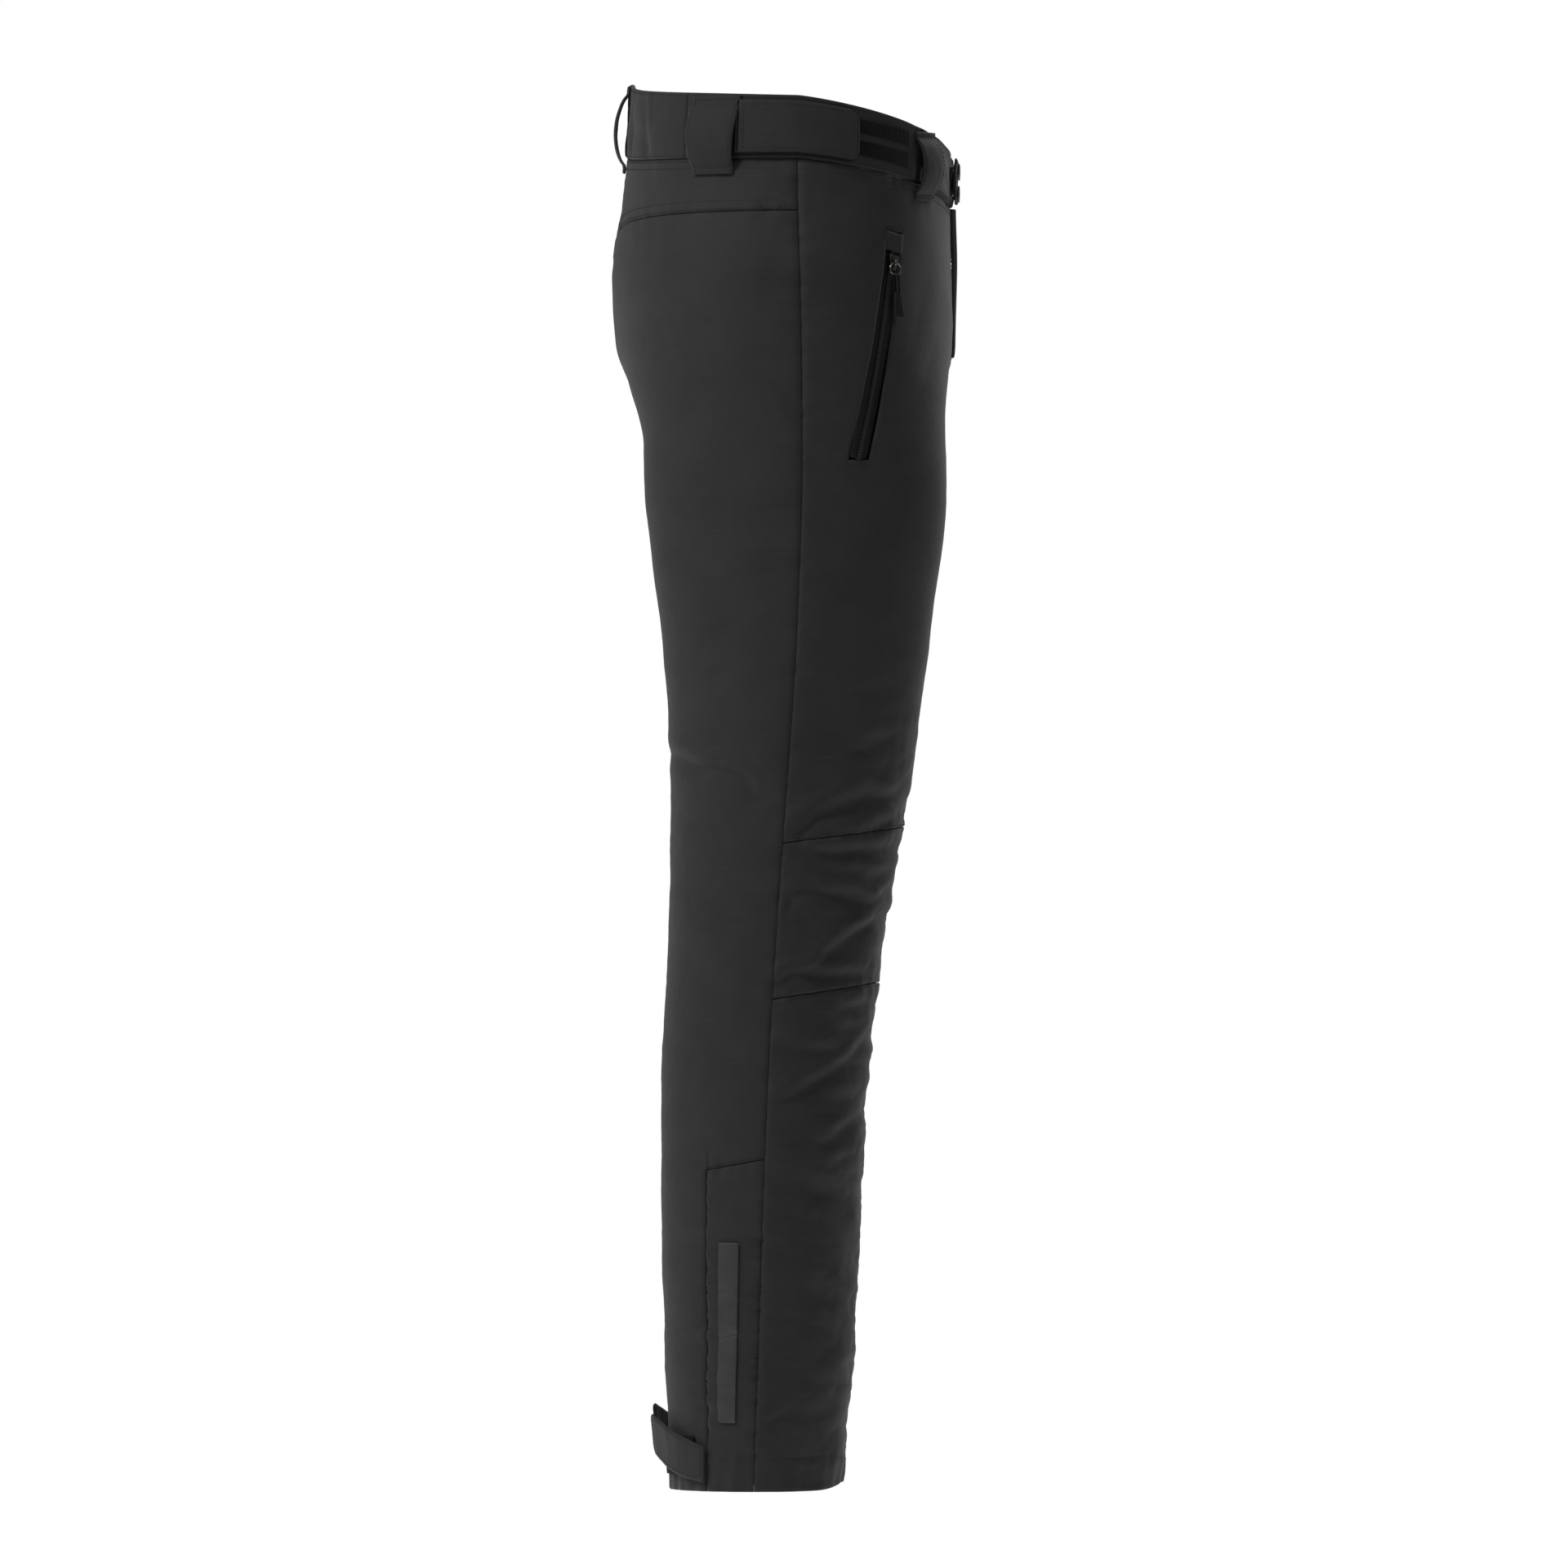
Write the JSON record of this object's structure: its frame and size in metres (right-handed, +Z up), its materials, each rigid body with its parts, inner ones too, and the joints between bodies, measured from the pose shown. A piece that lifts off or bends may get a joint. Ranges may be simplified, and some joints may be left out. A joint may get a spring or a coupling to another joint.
{
  "type": "ski pants",
  "caption": "Insulated ski pants with an adjustable waistband, belt loops, zipped hand pockets, a zip fly with a snap tab, shaped knees and ankle tabs, held in a worn shape.",
  "frame": {"origin": "middle of the waist opening, 1.050 m above the hem", "axes": "+Z up the body, -Y towards the front of the pants, +X towards the wearer's left"},
  "size_m": [0.396, 0.2686, 1.08],
  "materials": {
    "shell_fabric": "matt coated polyester plain weave, charcoal",
    "waistband_fabric": "matt coated polyester plain weave, charcoal",
    "quilted_lining": "smooth taffeta over wadding, near black",
    "gaiter_fabric": "coated taffeta, near black",
    "zip_tape": "woven zip tape with nylon coil, black",
    "loop_tape": "brushed nylon loop, black",
    "moulded_rubber": "satin moulded rubber, black",
    "reflective_tape": "glass-bead reflective film, dark silver",
    "plated_steel": "bright nickel plating"
  },
  "bodies": {
    "pants": {"back_panel_left": "shell_fabric", "back_panel_right": "shell_fabric", "belt_loop_centre_back": "waistband_fabric", "belt_loop_front_left": "waistband_fabric", "belt_loop_front_right": "waistband_fabric", "belt_loop_rear_left": "waistband_fabric", "belt_loop_rear_right": "waistband_fabric", "fly_shield": "shell_fabric", "fly_zip_tape": "zip_tape", "front_panel_left": "shell_fabric", "front_panel_right": "shell_fabric", "gusset_panel_left": "shell_fabric", "gusset_panel_right": "shell_fabric", "hem_loop_patch_left": "loop_tape", "hem_loop_patch_right": "loop_tape", "knee_panel_left": "shell_fabric", "knee_panel_right": "shell_fabric", "loop_strip_lower_left": "loop_tape", "loop_strip_lower_right": "loop_tape", "loop_strip_upper_left": "loop_tape", "loop_strip_upper_right": "loop_tape", "padded_lining_left": "quilted_lining", "padded_lining_right": "quilted_lining", "pocket_bag_left": "quilted_lining", "pocket_bag_right": "quilted_lining", "pocket_zip_tape_left": "zip_tape", "pocket_zip_tape_right": "zip_tape", "reflective_strip_left": "reflective_tape", "reflective_strip_right": "reflective_tape", "shin_panel_left": "shell_fabric", "shin_panel_right": "shell_fabric", "snap_stud_lower": "plated_steel", "snap_stud_upper": "plated_steel", "snow_gaiter_left": "gaiter_fabric", "snow_gaiter_right": "gaiter_fabric", "waist_tab_base_left": "waistband_fabric", "waist_tab_base_right": "waistband_fabric", "waistband_back": "waistband_fabric", "waistband_front_left": "waistband_fabric", "waistband_front_right": "waistband_fabric", "waistband_side_left": "waistband_fabric", "waistband_side_right": "waistband_fabric", "yoke_left": "shell_fabric", "yoke_right": "shell_fabric"},
    "closure_tab": {"closure_tab": "waistband_fabric", "snap_cap_lower": "plated_steel", "snap_cap_upper": "plated_steel"},
    "fly_slider": {"fly_slider": "plated_steel"},
    "fly_pull": {"fly_pull_ring": "plated_steel", "fly_pull_tab": "moulded_rubber"},
    "pocket_slider_left": {"pocket_left_slider": "plated_steel"},
    "pocket_pull_left": {"pocket_left_pull_ring": "plated_steel", "pocket_left_pull_tab": "moulded_rubber"},
    "waist_tab_left": {"waist_tab_left": "waistband_fabric"},
    "hem_tab_left": {"hem_tab_left": "shell_fabric"},
    "pocket_slider_right": {"pocket_right_slider": "plated_steel"},
    "pocket_pull_right": {"pocket_right_pull_ring": "plated_steel", "pocket_right_pull_tab": "moulded_rubber"},
    "waist_tab_right": {"waist_tab_right": "waistband_fabric"},
    "hem_tab_right": {"hem_tab_right": "shell_fabric"}
  },
  "joints": [
    {"name": "closure_tab_hinge", "type": "hinge", "parent": "pants", "child": "closure_tab", "pos_m": [0.02035, -0.13416, -0.047], "axis": [0.0012, -0.0156, 0.9999], "range_deg": [0, 110]},
    {"name": "fly_zip_slide", "type": "slide", "parent": "pants", "child": "fly_slider", "axis": [0, -0.0081, -1], "range_m": [0, 0.0977]},
    {"name": "fly_pull_hinge", "type": "hinge", "parent": "fly_slider", "child": "fly_pull", "pos_m": [0, -0.13029, -0.07795], "axis": [-1, 0, 0], "range_deg": [0, 150]},
    {"name": "pocket_zip_run_left", "type": "hinge", "parent": "pants", "child": "pocket_slider_left", "pos_m": [-0.45703, 0.55121, -0.19077], "axis": [0.6816, 0.6955, 0.2275], "range_deg": [0, 9.29]},
    {"name": "pocket_pull_hinge_left", "type": "hinge", "parent": "pocket_slider_left", "child": "pocket_pull_left", "pos_m": [0.16626, -0.08465, -0.1124], "axis": [-0.6277, -0.7784, 0], "range_deg": [0, 150]},
    {"name": "waist_tab_peel_left", "type": "hinge", "parent": "pants", "child": "waist_tab_left", "pos_m": [0.17281, 0.0349, -0.00858], "axis": [-0.1321, -0.0289, 0.9908], "range_deg": [0, 80]},
    {"name": "hem_tab_peel_left", "type": "hinge", "parent": "pants", "child": "hem_tab_left", "pos_m": [0.18274, 0.06148, -1.0295], "axis": [-0.0056, -0.0076, -1], "range_deg": [0, 95]},
    {"name": "pocket_zip_run_right", "type": "hinge", "parent": "pants", "child": "pocket_slider_right", "pos_m": [0.45703, 0.55121, -0.19077], "axis": [0.6816, -0.6955, -0.2275], "range_deg": [0, 9.29]},
    {"name": "pocket_pull_hinge_right", "type": "hinge", "parent": "pocket_slider_right", "child": "pocket_pull_right", "pos_m": [-0.16626, -0.08465, -0.1124], "axis": [-0.6277, 0.7784, 0], "range_deg": [0, 150]},
    {"name": "waist_tab_peel_right", "type": "hinge", "parent": "pants", "child": "waist_tab_right", "pos_m": [-0.17281, 0.0349, -0.00858], "axis": [-0.1321, 0.0289, -0.9908], "range_deg": [0, 80]},
    {"name": "hem_tab_peel_right", "type": "hinge", "parent": "pants", "child": "hem_tab_right", "pos_m": [-0.18274, 0.06148, -1.0295], "axis": [-0.0056, 0.0076, 1], "range_deg": [0, 95]}
  ]
}
